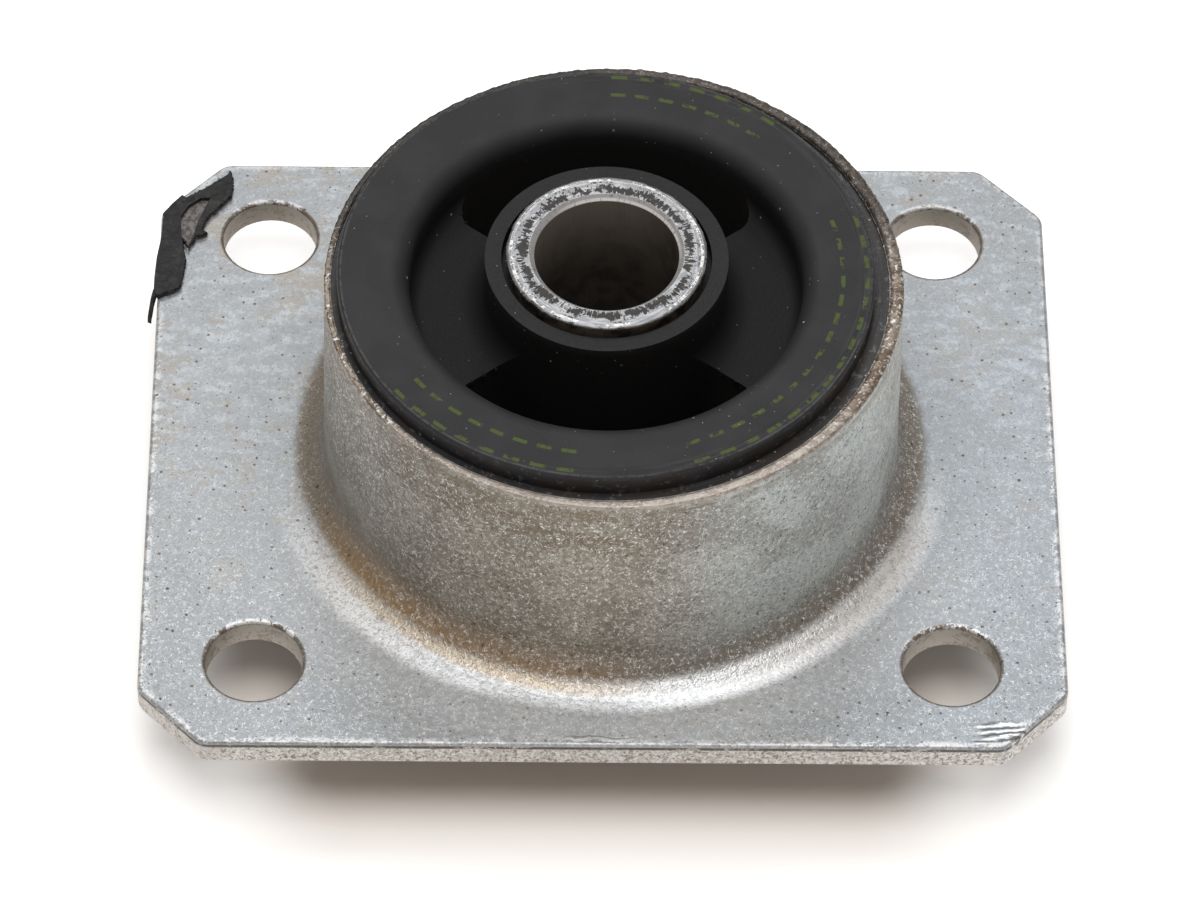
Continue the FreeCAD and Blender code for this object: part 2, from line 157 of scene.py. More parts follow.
class Shader:
    """Material under construction, with short calls for the nodes that the finishes share."""

    def __init__(self, name: str) -> None:
        """Start a material with a Principled shader and coordinates in millimetres."""
        self.material = bpy.data.materials.new(name)
        self.material.use_nodes = True
        self.tree = self.material.node_tree
        self.tree.nodes.clear()
        self.surface = self.node("ShaderNodeBsdfPrincipled", {}, {})
        output = self.node("ShaderNodeOutputMaterial", {}, {})
        self.tree.links.new(self.surface.outputs["BSDF"], output.inputs["Surface"])
        metres = self.node("ShaderNodeTexCoord", {}, {}).outputs["Object"]
        self.place = self.multiplied(metres, (1 / MM,) * 3)
        parts = self.node("ShaderNodeSeparateXYZ", {}, {0: self.place}).outputs
        self.x, self.y, self.z = (Value(self, socket) for socket in parts)

    def node(self, kind: str, settings: dict, inputs: dict) -> bpy.types.Node:
        """Add any node.

        Args:
            kind: node type.
            settings: properties, set first.
            inputs: values or links for its sockets, by name or number.

        Returns:
            The new node.
        """
        made = self.tree.nodes.new(kind)
        for key, setting in settings.items():
            setattr(made, key, setting)
        for key, given in inputs.items():
            socket = made.inputs[key]
            source = given.socket if isinstance(given, Value) else given
            if isinstance(source, Socket):
                self.tree.links.new(source, socket)
            elif socket.type == "RGBA" and len(source) == 3:
                socket.default_value = (*source, 1.0)
            else:
                socket.default_value = source
        return made

    def maths(self, operation: str, *operands: "Value | float") -> Value:
        """Math node on values and plain numbers."""
        return Value(self, self.node("ShaderNodeMath", {"operation": operation},
                                     dict(enumerate(operands))).outputs[0])

    def multiplied(self, vector: Socket, factors: Point) -> Socket:
        """Vector times a factor along each axis."""
        inputs = {0: vector, 1: factors}
        return self.node("ShaderNodeVectorMath", {"operation": "MULTIPLY"}, inputs).outputs[0]

    def around(self, radius: Value, along: float, across: float) -> Socket:
        """Place vector wound round the upright axis, for noise that runs in arcs.

        Args:
            radius: distance from the axis.
            along: pace of the noise round the axis, in millimetres per radian.
            across: pace of the noise outwards, in millimetres per millimetre.

        Returns:
            The vector socket.
        """
        inputs = {0: self.x / radius * along, 1: self.y / radius * along, 2: radius * across}
        return self.node("ShaderNodeCombineXYZ", {}, inputs).outputs[0]

    def mottle(self, size: float, detail: float = 3.0, distortion: float = 0.0, place: Socket | None = None
               ) -> Value:
        """Noise whose blotches are about as wide as the size in millimetres.

        Args:
            size: width of a blotch.
            detail: octaves.
            distortion: how far the blotches swirl.
            place: vector that the noise reads, if not the plain place.

        Returns:
            Noise around 0.5.
        """
        inputs = {"Vector": place or self.place, "Scale": 1 / size, "Detail": detail,
                  "Roughness": NOISE_ROUGHNESS, "Distortion": distortion}
        return Value(self, self.node("ShaderNodeTexNoise", {"noise_dimensions": "3D"}, inputs).outputs[0])

    def specks(self, kind: Specks, plane: bool = False) -> tuple[Value, Value]:
        """Scattered round specks, most of them small.

        Args:
            kind: their spacing, radii and share.
            plane: a pattern in X and Y only, for level faces.

        Returns:
            1 on a speck and 0 elsewhere, and a random number of each speck's own.
        """
        inputs = {"Vector": self.place, "Scale": 1 / kind.spacing}
        cells = self.node("ShaderNodeTexVoronoi", {"voronoi_dimensions": "2D" if plane else "3D"}, inputs)
        drawn = self.node("ShaderNodeSeparateColor", {}, {0: cells.outputs["Color"]}).outputs
        picked, lot = Value(self, drawn[0]), Value(self, drawn[1])
        size = Value(self, drawn[2]).maths("POWER", SPECK_SKEW) * ((kind.large - kind.small) / kind.spacing)
        near = (Value(self, cells.outputs["Distance"]) / (size + kind.small / kind.spacing)).rise(1.0, 0.5)
        return near * picked.rise(0.99 - kind.share, 1 - kind.share), lot

    def blend(self, factor: "Value | float", first: object, second: object) -> Socket:
        """Colour between two colours.

        Args:
            factor: 0 for the first colour and 1 for the second.
            first: colour or colour socket.
            second: colour or colour socket.

        Returns:
            The mixed colour's socket.
        """
        inputs = {0: factor, 6: first, 7: second}
        return self.node("ShaderNodeMix", {"data_type": "RGBA", "clamp_factor": True}, inputs).outputs[2]

    def layered(self, colour: object, *layers: tuple["Value | float", object]) -> Socket:
        """Colour under layers, each a factor and a colour, the last one on top."""
        for factor, top in layers:
            colour = self.blend(factor, colour, top)
        return colour

    def set(self, **inputs: object) -> None:
        """Set sockets of the Principled shader; underscores stand for spaces."""
        for key, given in inputs.items():
            socket = self.surface.inputs[key.replace("_", " ")]
            if isinstance(given, Value):
                self.tree.links.new(given.socket, socket)
            elif isinstance(given, Socket):
                self.tree.links.new(given, socket)
            else:
                socket.default_value = given

    def bump(self, height: Value, distance: float, strength: float = 1.0) -> None:
        """Raise the surface in the shading.

        Args:
            height: height from 0 to 1.
            distance: height in millimetres at 1.
            strength: how much of it shows.
        """
        inputs = {"Height": height, "Distance": distance * MM, "Strength": strength}
        self.set(Normal=self.node("ShaderNodeBump", {}, inputs).outputs["Normal"])


@dataclass(frozen=True)
class FlangeSizes:
    """Sizes of the flange that its finish follows, in millimetres."""

    sheet: float = 3.2
    half_length: float = 52.3
    half_width: float = 43.15
    cut_x: float = 7.3
    cut_y: float = 7.5
    hole_x: float = 39.3
    hole_y: float = 31.6
    hole_radius: float = 5.5
    die_offset: float = 0.9
    punch_offset: float = 0.45
    rim_radius: float = 32.55
    throat_radius: float = 31.4
    foot_radius: float = 33.0
    rim: float = 32.1


@dataclass(frozen=True)
class Scores:
    """Patch of scores on the plate's top: middle, half sizes and pitch in millimetres, slant, strength."""

    x: float
    y: float
    half_x: float
    half_y: float
    pitch: float
    slant: float
    strength: float


@dataclass(frozen=True)
class Grain:
    """Noises that the parts of the plating share."""

    coarse: Value
    scale: Value
    strokes: Value
    reach: Value
    ragged: Value


class Arc(Enum):
    """Stretches of the way round the collar, in degrees.

    First comes the middle, from the right towards the back, then how far from it the stretch has faded out,
    and up to how far it is full.
    """

    PAINTED_LIGHT_SIDE = (-50, 100, 20)
    LEFT_FLANK = (180, 35, 5)
    RIGHT_FLANK = (0, 32, 8)
    BROWN_CAP = (-107, 42, 10)
    STAIN = (-122, 46, 6)
    DEEP_SHADE = (180, 65, 30)
    FLARE = (-86, 85, 55)
    WIDE_FLARE = (-145, 45, 10)
    DULL_FLARE = (-100, 42, 5)
    SHINY_FLARE = (-60, 30, 10)
    RIGHT_LIFT = (-50, 45, 10)
    LEFT_LIFT = (-140, 35, 8)
    GOLD = (-118, 42, 8)
    COPPER = (-85, 62, 30)
    FILM = (135, 48, 30)
    VALLEY = (180, 55, 25)
    PAINTED_LIGHT_AHEAD = (-90, 80, 20)


@dataclass(frozen=True)
class Spot:
    """Where a point of the flange lies: off the collar's axis, above the plate, inside its outline."""

    radius: Value
    right: Value
    front: Value
    level: Value
    edge: Value
    near: Value

    def lobe(self, arc: Arc) -> Value:
        """1 in a stretch of the way round the collar, and 0 elsewhere."""
        middle, wide, narrow = (math.radians(angle) for angle in arc.value)
        toward = self.right * math.cos(middle) - self.front * math.sin(middle)
        return toward.rise(math.cos(wide), math.cos(narrow))


@dataclass(frozen=True)
class ZincPlating:
    """Dull zinc plating on pressed sheet: streaked bluish plate, bright flare, browner collar above it."""

    sizes: FlangeSizes = FlangeSizes()
    pale: Colour = (0.445, 0.475, 0.505)
    dull: Colour = (0.33, 0.35, 0.37)
    frost: Colour = (0.60, 0.65, 0.70)
    bluish: Colour = (0.405, 0.47, 0.55)
    tan: Colour = (0.36, 0.31, 0.25)
    wall_left: Colour = (0.355, 0.35, 0.32)
    wall_front: Colour = (0.37, 0.34, 0.285)
    wall_right_painted_light: Colour = (0.60, 0.655, 0.66)
    painted_glint_stroke: Colour = (0.88, 0.90, 0.91)
    dark_stroke: Colour = (0.115, 0.095, 0.072)
    foot_shade: Colour = (0.245, 0.215, 0.175)
    stain: Colour = (0.40, 0.26, 0.125)
    gold: Colour = (0.60, 0.47, 0.31)
    brown: Colour = (0.20, 0.15, 0.10)
    # Bright band colour: part worn metal, part painted highlight; also the painted light ahead of the
    # collar.
    bright: Colour = (0.92, 0.925, 0.93)
    # Worn bright metal, also used for painted glints and highlights.
    worn: Colour = (0.90, 0.905, 0.92)
    sheared: Colour = (0.68, 0.645, 0.605)
    hole_wall: Colour = (0.56, 0.535, 0.49)
    rust: Colour = (0.16, 0.12, 0.085)
    copper: Colour = (0.33, 0.28, 0.235)
    beige: Colour = (0.52, 0.475, 0.43)
    rubber_film: Colour = (0.045, 0.042, 0.040)
    pit: Colour = (0.05, 0.042, 0.034)
    dirt: Colour = (0.15, 0.11, 0.075)
    pits: Specks = Specks(spacing=1.2, small=0.09, large=0.27, share=0.5)
    scores: tuple[Scores, ...] = (Scores(44.6, -41.0, 3.6, 1.7, 0.85, 0.10, 0.75),
                                  Scores(-0.6, -42.4, 4.6, 0.7, 0.7, -0.02, 0.4))
    roughness: float = 0.5
    metallic: float = 0.5
    relief: float = 0.08
    flare_relief: float = 9.0

    def spot(self, shader: Shader) -> Spot:
        """Place of a point in the terms that the parts of the finish use."""
        s = self.sizes
        radius = shader_radius(shader, s.die_offset)
        across = s.half_length - abs(shader.x)
        along = s.half_width - abs(shader.y)
        corner = (s.cut_y * across + s.cut_x * along - s.cut_x * s.cut_y) / math.hypot(s.cut_x, s.cut_y)
        return Spot(radius=radius, right=(shader.x - s.die_offset) / radius, front=shader.y / radius * -1,
                    level=shader.z - s.sheet, edge=across.at_most(along).at_most(corner),
                    near=radius.rise(s.foot_radius + 9.0, s.foot_radius + 6.0))

    def grain(self, shader: Shader) -> Grain:
        """Noises of the plating, each made once."""
        strokes = shader.mottle(0.48, detail=1.0, distortion=1.1)
        reach = shader.mottle(1.5, place=shader.multiplied(shader.place, (0.5, 1.0, 1.0)))
        return Grain(coarse=shader.mottle(7.0, detail=2.0), scale=shader.mottle(0.6, detail=2.0),
                     strokes=strokes, reach=reach, ragged=reach * 0.55 + strokes * 0.45)

    def plate(self, shader: Shader, grain: Grain) -> Socket:
        """Blotched bluish plate, bluer on the right, duller and more stained towards its back edge."""
        behind = shader.y.rise(-20.0, 20.0)
        blotch = grain.scale.rise(0.34, 0.64) * 0.24 + grain.coarse - 0.19
        blotch = blotch + (grain.reach - 0.5) * behind * 1.6
        pale = shader.blend(shader.x.rise(10.0, 48.0) * 0.7, self.pale, self.bluish)
        mixed = grain.scale * 0.5 + grain.reach * 0.5
        stained = (grain.coarse + 1 - mixed + behind * 0.03).rise(1.02, 1.18)
        return shader.layered(
            shader.blend(blotch, self.dull, pale),
            (shader.y.rise(12.0, 34.0) * 0.75, self.dull),
            (mixed.rise(0.50, 0.62) * behind * 0.40, self.frost),
            (stained * (shader.x.rise(45.0, -30.0) * behind * 0.3 + 0.25), self.tan))

    def wall(self, shader: Shader, spot: Spot, grain: Grain) -> Socket:
        """Collar wall: browner in front and under the rim there; paler on the right as painted light, and
        painted shade high up on the left and right sides.
        """
        shaded_flanks = spot.lobe(Arc.LEFT_FLANK) + spot.lobe(Arc.RIGHT_FLANK)
        cap = spot.lobe(Arc.BROWN_CAP) * spot.level.band(21.0, 27.2, 3.0) * grain.reach.rise(0.38, 0.56)
        return shader.layered(
            self.wall_front,
            (spot.right.rise(-0.35, -1.0), self.wall_left),
            # Painted light: the wall is paler on the right.
            (spot.right.rise(0.0, 0.6) * spot.lobe(Arc.PAINTED_LIGHT_SIDE), self.wall_right_painted_light),
            # Painted shade high up on the left and right sides of the wall.
            (shaded_flanks * spot.level.rise(12.0, 27.0) * 0.4, self.foot_shade),
            (grain.coarse.rise(0.44, 0.62) * 0.3, self.dark_stroke),
            (cap * 0.6, self.brown))

    def flare(self, shader: Shader, spot: Spot, grain: Grain, colour: Socket
              ) -> tuple[Socket, Value, Value]:
        """Foot of the collar: brown shade at the bottom of the wall, part painted shade and part stain;
        bright band round it, part worn metal and part painted highlight.

        Args:
            shader: shader to work in.
            spot: place of the point.
            grain: noises that scratch the band.
            colour: colour so far.

        Returns:
            The colour with the foot, the mask of the bright band, and the height of the flare's curve.
        """
        foot = spot.radius - self.sizes.foot_radius
        inner = foot - 3.3 + spot.front.rise(0.0, 0.85) * 1.45
        outer = foot - 5.5 - spot.lobe(Arc.WIDE_FLARE) * 0.8
        inside = inner.rise(0.55, -0.65)
        stained = spot.lobe(Arc.STAIN) * (inner.rise(-3.6, -1.4) * 0.75 + 0.25)
        depth = spot.lobe(Arc.DEEP_SHADE) * 0.15 + 0.82
        shaded = inside * spot.level.rise(5.6, 0.6) * spot.near * depth
        reached, right = spot.lobe(Arc.FLARE), spot.lobe(Arc.RIGHT_LIFT)
        band = (1 - inside) * outer.rise(1.6, -1.2) * spot.level.rise(2.6, 1.4) * spot.near * reached
        golden = inner.rise(2.0, 0.9) * spot.lobe(Arc.GOLD)
        # Bright band: part worn metal, part painted highlight of the lamp above.
        rubbed_and_highlit = shader.layered(
            self.bright,
            (spot.lobe(Arc.DULL_FLARE) * 0.42, self.pale),
            (grain.strokes.rise(0.48, 0.40) * (0.4 - right * 0.2), self.dull),
            (golden * (0.6 + grain.strokes * 0.3), self.gold))
        colour = shader.layered(
            colour, (shaded, shader.blend(stained, self.foot_shade, self.stain)),
            (band * 0.9, rubbed_and_highlit))
        lift = outer.rise(0.7, -3.2) * reached * (right * 0.9 + spot.lobe(Arc.LEFT_LIFT) * 0.4 + 1.0)
        return colour, band, lift

    def holes(self, shader: Shader, spot: Spot, grain: Grain, colour: Socket) -> Socket:
        """Bolt holes: pale brown punched walls, darker in the back ones, with a bright mouth that is part
        wear and part painted highlight.
        """
        s = self.sizes
        across = abs(shader.x) - s.hole_x
        away = shader.y - shader.y.maths("SIGN") * s.hole_y
        beyond = (across * across + away * away).maths("SQRT") - s.hole_radius
        behind = shader.y.rise(-10.0, 10.0)
        punched = shader.layered(
            self.hole_wall,
            (spot.level.rise(-0.8, -3.0) * 0.6, self.sheared),
            (behind * 0.5, self.brown),
            (grain.ragged.rise(0.47, 0.42) * 0.4, self.rust))
        lip = beyond.rise(0.5, 0.3) * spot.level.rise(-0.5, -0.3)
        # Bright mouth: part wear, part painted highlight, a little stronger towards each hole's back.
        mouth = beyond.rise(0.7, 0.4) * spot.level.rise(-0.4, -0.2)
        mouth = mouth * (away * 0.03 + grain.ragged).rise(0.63, 0.71)
        return shader.layered(
            colour,
            (beyond.rise(0.25, 0.1) * spot.level.rise(-0.35, -0.6), punched),
            (lip * (grain.ragged.rise(0.56, 0.44) * 0.3 + 0.55), self.rust),
            (mouth * (0.85 - behind * 0.35), self.worn))

    def edges(self, shader: Shader, spot: Spot, grain: Grain, colour: Socket) -> Socket:
        """Plate's outline: ragged bright band on its top edge, part wear and part painted highlight, then
        the sheared side with painted glints and a broken brown line on it.
        """
        # Bright band on the top edge: part wear, part painted highlight.
        brow_wear_and_highlight = spot.edge.band(0.0, 0.8, 0.6) * spot.level.rise(-0.3, -0.05) * grain.ragged.rise(0.46, 0.56)
        line = spot.level.band(-0.85, -0.3, 0.25) * grain.ragged.rise(0.41, 0.49)
        cut = shader.layered(
            self.sheared,
            (grain.scale.rise(0.4, 0.6) * 0.35, self.dull),
            (grain.strokes.rise(0.43, 0.37) * 0.65, self.rust),
            # Painted glints on the sheared side, away from its left end.
            (grain.strokes.rise(0.54, 0.60) * shader.x.rise(-46.0, -40.0) * 0.7, self.worn),
            (line * 0.9, self.pit))
        return shader.layered(
            colour, (brow_wear_and_highlight * (0.6 - shader.y.rise(0.0, 25.0) * 0.35), self.worn),
            (spot.edge.rise(0.3, 0.08) * spot.level.rise(-0.25, -0.5), cut))

    def rim(self, shader: Shader, spot: Spot, grain: Grain, colour: Socket) -> Socket:
        """Trimmed rim: coppery with bright glints in front, filmed over with dark rubber at the back."""
        above = shader.z - self.sizes.rim
        ahead, torn = spot.lobe(Arc.COPPER), grain.reach - 0.5
        under = above.band(-2.2, -0.7, 1.0) * grain.reach.rise(0.3, 0.6) * 0.35
        line = above.band(-1.35, -1.05, 0.3) * grain.reach.rise(0.36, 0.5) * spot.front.rise(0.0, 0.5) * 0.6
        film = spot.front.rise(0.05, -0.45) * 0.78 + spot.lobe(Arc.FILM) * 0.2
        metal = shader.layered(
            self.copper,
            (ahead * 0.75, self.beige),
            (grain.ragged.rise(0.51, 0.45) * (1 - ahead * 0.65), self.rust),
            # Painted glints on the rim.
            ((grain.strokes + grain.scale).rise(1.12, 1.2) * (0.7 - ahead * 0.45), self.worn),
            (film + torn * spot.front.rise(0.1, -0.3), self.rubber_film))
        return shader.layered(
            colour, (under.at_least(line), self.brown),
            ((above + torn * 0.3).rise(-0.45, -0.2), metal))

    def scored(self, shader: Shader, patch: Scores, grain: Grain) -> tuple[Value, Value]:
        """Worn scores of one patch.

        Args:
            shader: shader to work in.
            patch: place, pitch and slant of the scores.
            grain: noises that break their ends.

        Returns:
            The patch's mask, and the score pattern from 0 in a groove to 1 on a ridge.
        """
        x, y, torn = shader.x - patch.x, shader.y - patch.y, grain.reach - 0.5
        inside = (abs(x) + torn * 7.0).rise(patch.half_x, patch.half_x * 0.6)
        inside = inside * (abs(y) + torn * 1.2).rise(patch.half_y, patch.half_y * 0.75)
        turns = (y - x * patch.slant + grain.reach * 1.6) * (math.tau / patch.pitch)
        wave = turns.maths("SINE") * 0.5 + 0.5
        return inside * shader.z.rise(1.5, 3.0) * patch.strength, wave

    def make(self) -> bpy.types.Material:
        """Build the finish.

        Returns:
            The material.
        """
        m = Shader(Slot.ZINC.value)
        spot, grain = self.spot(m), self.grain(m)
        foot = spot.radius - self.sizes.foot_radius
        wall = spot.level.rise(1.2, 4.2) * foot.rise(3.0, 1.5)
        colour = m.blend(wall, self.plate(m, grain), self.wall(m, spot, grain))
        colour, band, lift = self.flare(m, spot, grain, colour)

        drawn = foot.rise(3.7, 2.7)
        valley = spot.lobe(Arc.VALLEY) * spot.level.rise(16.0, 5.0) * drawn
        busy = (drawn * 0.5 + m.y.rise(20.0, -35.0) * 0.5 + 0.26) * (1 - valley * 0.6)
        # Light streaks: painted glints of the crinkled plating; the dark streaks are its own pattern.
        light = grain.strokes.band(0.55, 0.60, 0.02) * grain.scale.rise(0.42, 0.52)
        dark = grain.strokes.band(0.39, 0.435, 0.02) * grain.scale.rise(0.58, 0.48)
        pits, lot = m.specks(self.pits, plane=True)
        pits = pits * (1 - wall) * spot.level.rise(-0.3, -0.1) * (1 - band * 0.7)
        lee = foot.rise(17.0, 5.5) * (1 - wall)
        # Painted light: the plate in front of the collar is lightened against the collar's shadow.
        ahead = lee * foot.rise(4.5, 7.0) * spot.lobe(Arc.PAINTED_LIGHT_AHEAD)
        colour = m.layered(
            colour,
            (light * busy, self.painted_glint_stroke),
            (dark * busy * (wall * 0.4 + 0.55), self.dark_stroke),
            (pits * 0.9, m.blend(lot.rise(0.15, 0.3), self.pit, self.dirt)),
            (ahead * (1 - band) * 0.25, self.bright))
        for part in (self.edges, self.holes, self.rim):
            colour = part(m, spot, grain, colour)

        height = grain.scale * 0.5 + grain.strokes * (0.5 + drawn * 0.9) + lift * self.flare_relief
        shines = []
        for patch in self.scores:
            inside, wave = self.scored(m, patch, grain)
            # Painted shade in the score grooves; bright ridges are part worn metal, part painted highlight.
            colour = m.layered(
                colour, (inside * wave.rise(0.36, 0.12), self.pit),
                (inside * wave.rise(0.62, 0.85), self.worn))
            height = height + inside * (wave - 0.5)
            shines.append(inside * wave)
        shine = reduce(Value.at_least, shines)
        gloss = band * (spot.lobe(Arc.SHINY_FLARE) * 0.25 + 0.3)
        m.set(Base_Color=colour, Metallic=self.metallic - lee * 0.2 + gloss + shine * 0.2,
              Roughness=self.roughness + (grain.scale - 0.5) * 0.3 - band * 0.05 - shine * 0.12)
        m.bump(height, self.relief, 0.7)
        return m.material


def shader_radius(shader: Shader, centre_x: float = 0.0) -> Value:
    """Distance from an upright axis, in millimetres."""
    x = shader.x - centre_x if centre_x else shader.x
    return (x * x + shader.y * shader.y).maths("SQRT")


@dataclass(frozen=True)
class MouldedRubber:
    """Matte black rubber with dust and two rows of worn paint dashes on its face."""

    tone: Colour = (0.0218, 0.0220, 0.0255)
    worn: Colour = (0.033, 0.0335, 0.038)
    crest_highlight: Colour = (0.10, 0.10, 0.105)
    # Painted shade colour, for the bowl and round the hub.
    sunk: Colour = (0.0062, 0.0062, 0.0068)
    deep_painted_shade: Colour = (0.0115, 0.0112, 0.0112)
    brown: Colour = (0.032, 0.025, 0.018)
    dust: Colour = (0.50, 0.49, 0.46)
    paint: Colour = (0.072, 0.108, 0.018)
    face: float = 34.3
    face_radius: float = 30.2
    hub_top: float = 36.4
    hub_radius: float = 13.65
    void_radius: float = 22.1
    spoke_level: float = 28.2
    paint_rows: tuple[float, ...] = (26.3, 29.0)
    paint_width: float = 0.5
    dash_pitch: float = 6.0
    dash_share: float = 0.6
    marked_arcs: tuple[Pair, ...] = ((48, 90), (-72, 18), (-144, -96))
    powder: Specks = Specks(spacing=1.0, small=0.08, large=0.22, share=0.55)
    roughness: float = 0.62
    specular: float = 0.32
    relief: float = 0.035

    def painted(self, shader: Shader, radius: Value, wear: Value) -> Value:
        """Worn dashes of paint in rows on the face.

        Args:
            shader: shader to work in.
            radius: distance from the upright axis.
            wear: noise that rubs the paint away.

        Returns:
            1 on paint and 0 elsewhere.
        """
        bearing = shader.maths("ARCTAN2", shader.y, shader.x) * (180 / math.pi)
        step = (bearing / self.dash_pitch).maths("FRACT")
        dash = step.band(0.5 - self.dash_share / 2, 0.5 + self.dash_share / 2, 0.08)
        arcs = reduce(Value.at_least, (bearing.band(*arc, 0.5) for arc in self.marked_arcs))
        rows = reduce(Value.at_least, (radius.band(inner, inner + self.paint_width, 0.15)
                                       for inner in self.paint_rows))
        return dash * arcs * rows * wear.rise(0.36, 0.50)

    def make(self) -> bpy.types.Material:
        """Build the finish.

        Returns:
            The material.
        """
        m = Shader(Slot.RUBBER.value)
        radius = shader_radius(m)
        off_hub, off_void, off_face = (
            radius - ring for ring in (self.hub_radius, self.void_radius, self.face_radius))
        grain = m.mottle(0.22, detail=1.0)
        cloud = m.mottle(5.0, detail=2.0)
        wear = m.mottle(0.9, distortion=0.5)
        on_face = (m.z - self.face).rise(-0.3, -0.1)

        low = m.z.rise(self.face - 0.6, self.spoke_level + 0.4) * off_void.rise(2.0, 0.0)
        over_void = (abs(m.y) / radius).rise(0.58, 0.68)
        sinking_shade = (m.z - self.spoke_level - over_void * 3.5).rise(-0.3, -2.5) * off_void.rise(0.5, 0.0)
        hub_side = (m.z - self.hub_top).rise(-0.25, -1.2)
        left_front = ((m.x * -0.8 - m.y * 0.6) / radius).rise(0.1, 0.6)

        crest_highlight = off_face.band(-0.5, -0.28, 0.15) * wear.rise(0.36, 0.56)
        crease_light_and_shade = off_face.rise(-2.2, -1.0) * (m.x / radius).rise(-0.5, 0.3)
        streaks = m.mottle(0.9, detail=2.0, place=m.around(radius, 4, 3))
        brim = off_face.rise(-0.2, 0.1)
        powder, lot = m.specks(self.powder)
        powder = powder * (lot * 0.75 + 0.1) * (1 - low * 0.5) * (1 - sinking_shade)
        colour = m.layered(
            self.tone,
            (cloud.rise(0.35, 0.7) * 0.6 + (grain - 0.5) * 0.6, self.worn),
            # Painted shade: darker in the bowl by the voids, down into the voids, round the hub's foot, and
            # a dark line for the hub's lip.
            (low * (radius.rise(19.0, 14.5) * 0.04 + 0.96), self.sunk),
            (sinking_shade * off_hub.rise(-0.3, -0.1), self.deep_painted_shade),
            (off_hub.rise(3.0, 0.6) * (hub_side * 0.25 + 0.7), self.sunk),
            (off_hub.band(-0.8, -0.62, 0.1) * left_front * 0.8, self.deep_painted_shade),
            # Painted highlight along the face's edge.
            (crest_highlight * on_face * 0.6, self.crest_highlight),
            # Light and dark streaks on the right near the face's edge: painted highlight and painted shade.
            (crease_light_and_shade * streaks.rise(0.50, 0.62) * 0.22, self.crest_highlight),
            (crease_light_and_shade * streaks.rise(0.48, 0.38) * 0.5, self.deep_painted_shade),
            (brim * cloud.rise(0.4, 0.6) * 0.6, self.brown),
            (brim * wear.rise(0.56, 0.68) * 0.16, self.dust),
            (self.painted(m, radius, wear) * on_face * 0.9, self.paint),
            (powder, self.dust))
        m.set(Base_Color=colour, Specular_IOR_Level=self.specular,
              Roughness=self.roughness + (grain - 0.5) * 0.25 - brim * 0.15 + low * 0.15)
        m.bump(grain * 0.5 + wear * 0.6, self.relief, 0.6)
        return m.material


@dataclass(frozen=True)
class SleeveSteel:
    """Plated tube: worn bright end with a dark torn ring, painted highlight on the chamfer and painted
    glints on the outer edge, brown bore with painted light near its mouth.
    """

    bright: Colour = (0.22, 0.225, 0.235)
    pale: Colour = (0.47, 0.475, 0.485)
    # Painted highlight colour of the chamfer and outer edge.
    chamfer: Colour = (0.90, 0.90, 0.90)
    slope: Colour = (0.50, 0.51, 0.53)
    dark: Colour = (0.036, 0.033, 0.031)
    skin: Colour = (0.16, 0.14, 0.12)
    bore: Colour = (0.075, 0.062, 0.048)
    bore_mouth_painted_light: Colour = (0.26, 0.235, 0.21)
    bore_radius: float = 8.1
    chamfer_width: float = 0.6
    radius: float = 11.0
    top: float = 37.4
    bottom: float = -8.0
    roughness: float = 0.5
    metallic: float = 0.3
    relief: float = 0.05

    def make(self) -> bpy.types.Material:
        """Build the finish.

        Returns:
            The material.
        """
        m = Shader(Slot.SLEEVE.value)
        radius = shader_radius(m)
        right, back = m.x / radius, m.y / radius
        off_bore, off_edge = radius - self.bore_radius, radius - self.radius
        torn = m.mottle(0.36, detail=2.0, distortion=0.8, place=m.around(radius, 9.5, 0.45))
        coarse = m.mottle(2.2, detail=2.0)
        arcs = m.mottle(0.8, detail=2.0, place=m.around(radius, 4, 3))
        end = (m.z - self.top).rise(-0.7, -0.5).at_least((m.z - self.bottom).rise(0.7, 0.5))

        middle = abs(off_bore - 1.3 + (coarse - 0.5) * 0.7)
        ring = (middle - coarse.rise(0.34, 0.56) * 0.55 + (torn - 0.5) * 2.8).rise(0.15, -0.15)
        chips = (torn * 0.6 + coarse * 0.6).rise(0.66, 0.72) * off_edge.rise(-0.9, -0.5)
        glint = off_edge.band(-0.45, -0.1, 0.15) * (coarse + torn).rise(1.04, 1.14)
        slope = (off_bore - self.chamfer_width).rise(0.1, -0.05)
        lit = slope * (back + right * 0.5).rise(0.2, 0.8) * off_bore.rise(0.35, 0.2) * torn.rise(0.36, 0.46)
        face = m.layered(
            self.bright,
            (arcs.rise(0.40, 0.62) * 0.55, self.pale),
            ((ring * 0.92).at_least(chips * 0.75), self.dark),
            (slope * (1 - torn.rise(0.55, 0.65) * 0.6), self.slope),
            # Painted highlight on the chamfer's back and painted glints on the outer edge.
            (glint.at_least(lit), self.chamfer))

        bore = off_bore.rise(0.05, -0.02)
        # Painted light in the bore near its mouth, on the far side.
        mouth = m.z.rise(24.0, 37.0) * (back - right * 0.5).rise(-0.2, 1.0)
        lined = m.layered(self.bore, (coarse.rise(0.35, 0.7) * 0.6, self.dark), (mouth, self.bore_mouth_painted_light))
        colour = m.layered(
            self.skin,
            (coarse.rise(0.4, 0.65), self.dark),
            (end * (1 - off_edge.rise(0.12, 0.26) * torn.rise(0.36, 0.50)), face),
            (bore, lined))
        dull = ring.at_least(chips) * end
        m.set(Base_Color=colour, Metallic=self.metallic + end * 0.5 - dull * 0.4 - slope * 0.3,
              Roughness=self.roughness - end * 0.06 + dull * 0.2 + bore * 0.1)
        m.bump(torn * 0.5 - dull * 0.5, self.relief, 0.7)
        return m.material


